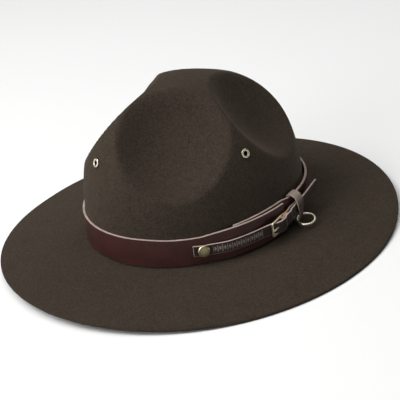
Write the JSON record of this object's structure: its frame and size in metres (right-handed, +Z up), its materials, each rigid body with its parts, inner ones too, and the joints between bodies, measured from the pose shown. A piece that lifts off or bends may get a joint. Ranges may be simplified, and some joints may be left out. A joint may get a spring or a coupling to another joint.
{
  "type": "campaign hat",
  "caption": "Stiff felt campaign hat with a peaked, pinched crown and a wide flat brim, dressed with a leather band, a buckled narrow strap and a brass ring.",
  "frame": {"origin": "centre of the brim's oval on the surface that the hat rests on", "axes": "+Z up through the crown, -Y towards the front of the hat, +X towards the wearer's left"},
  "size_m": [0.3356, 0.3648, 0.1456],
  "materials": {
    "felt": "dense brown fur felt, matt",
    "band_leather": "oxblood leather, smooth, raw pale edges",
    "strap_leather": "dark brown leather, smooth, raw pale edges",
    "brass": "aged brass, satin"
  },
  "bodies": {
    "root": {"felt_body": "felt", "eyelet_front": "brass", "eyelet_left": "brass", "eyelet_rear": "brass", "eyelet_right": "brass", "hat_band": "band_leather", "billet_strap": "strap_leather", "buckle_strap": "strap_leather", "ring_tab": "strap_leather", "buckle_frame": "brass", "buckle_prong": "brass", "band_ring": "brass", "band_stud": "brass"}
  },
  "joints": []
}
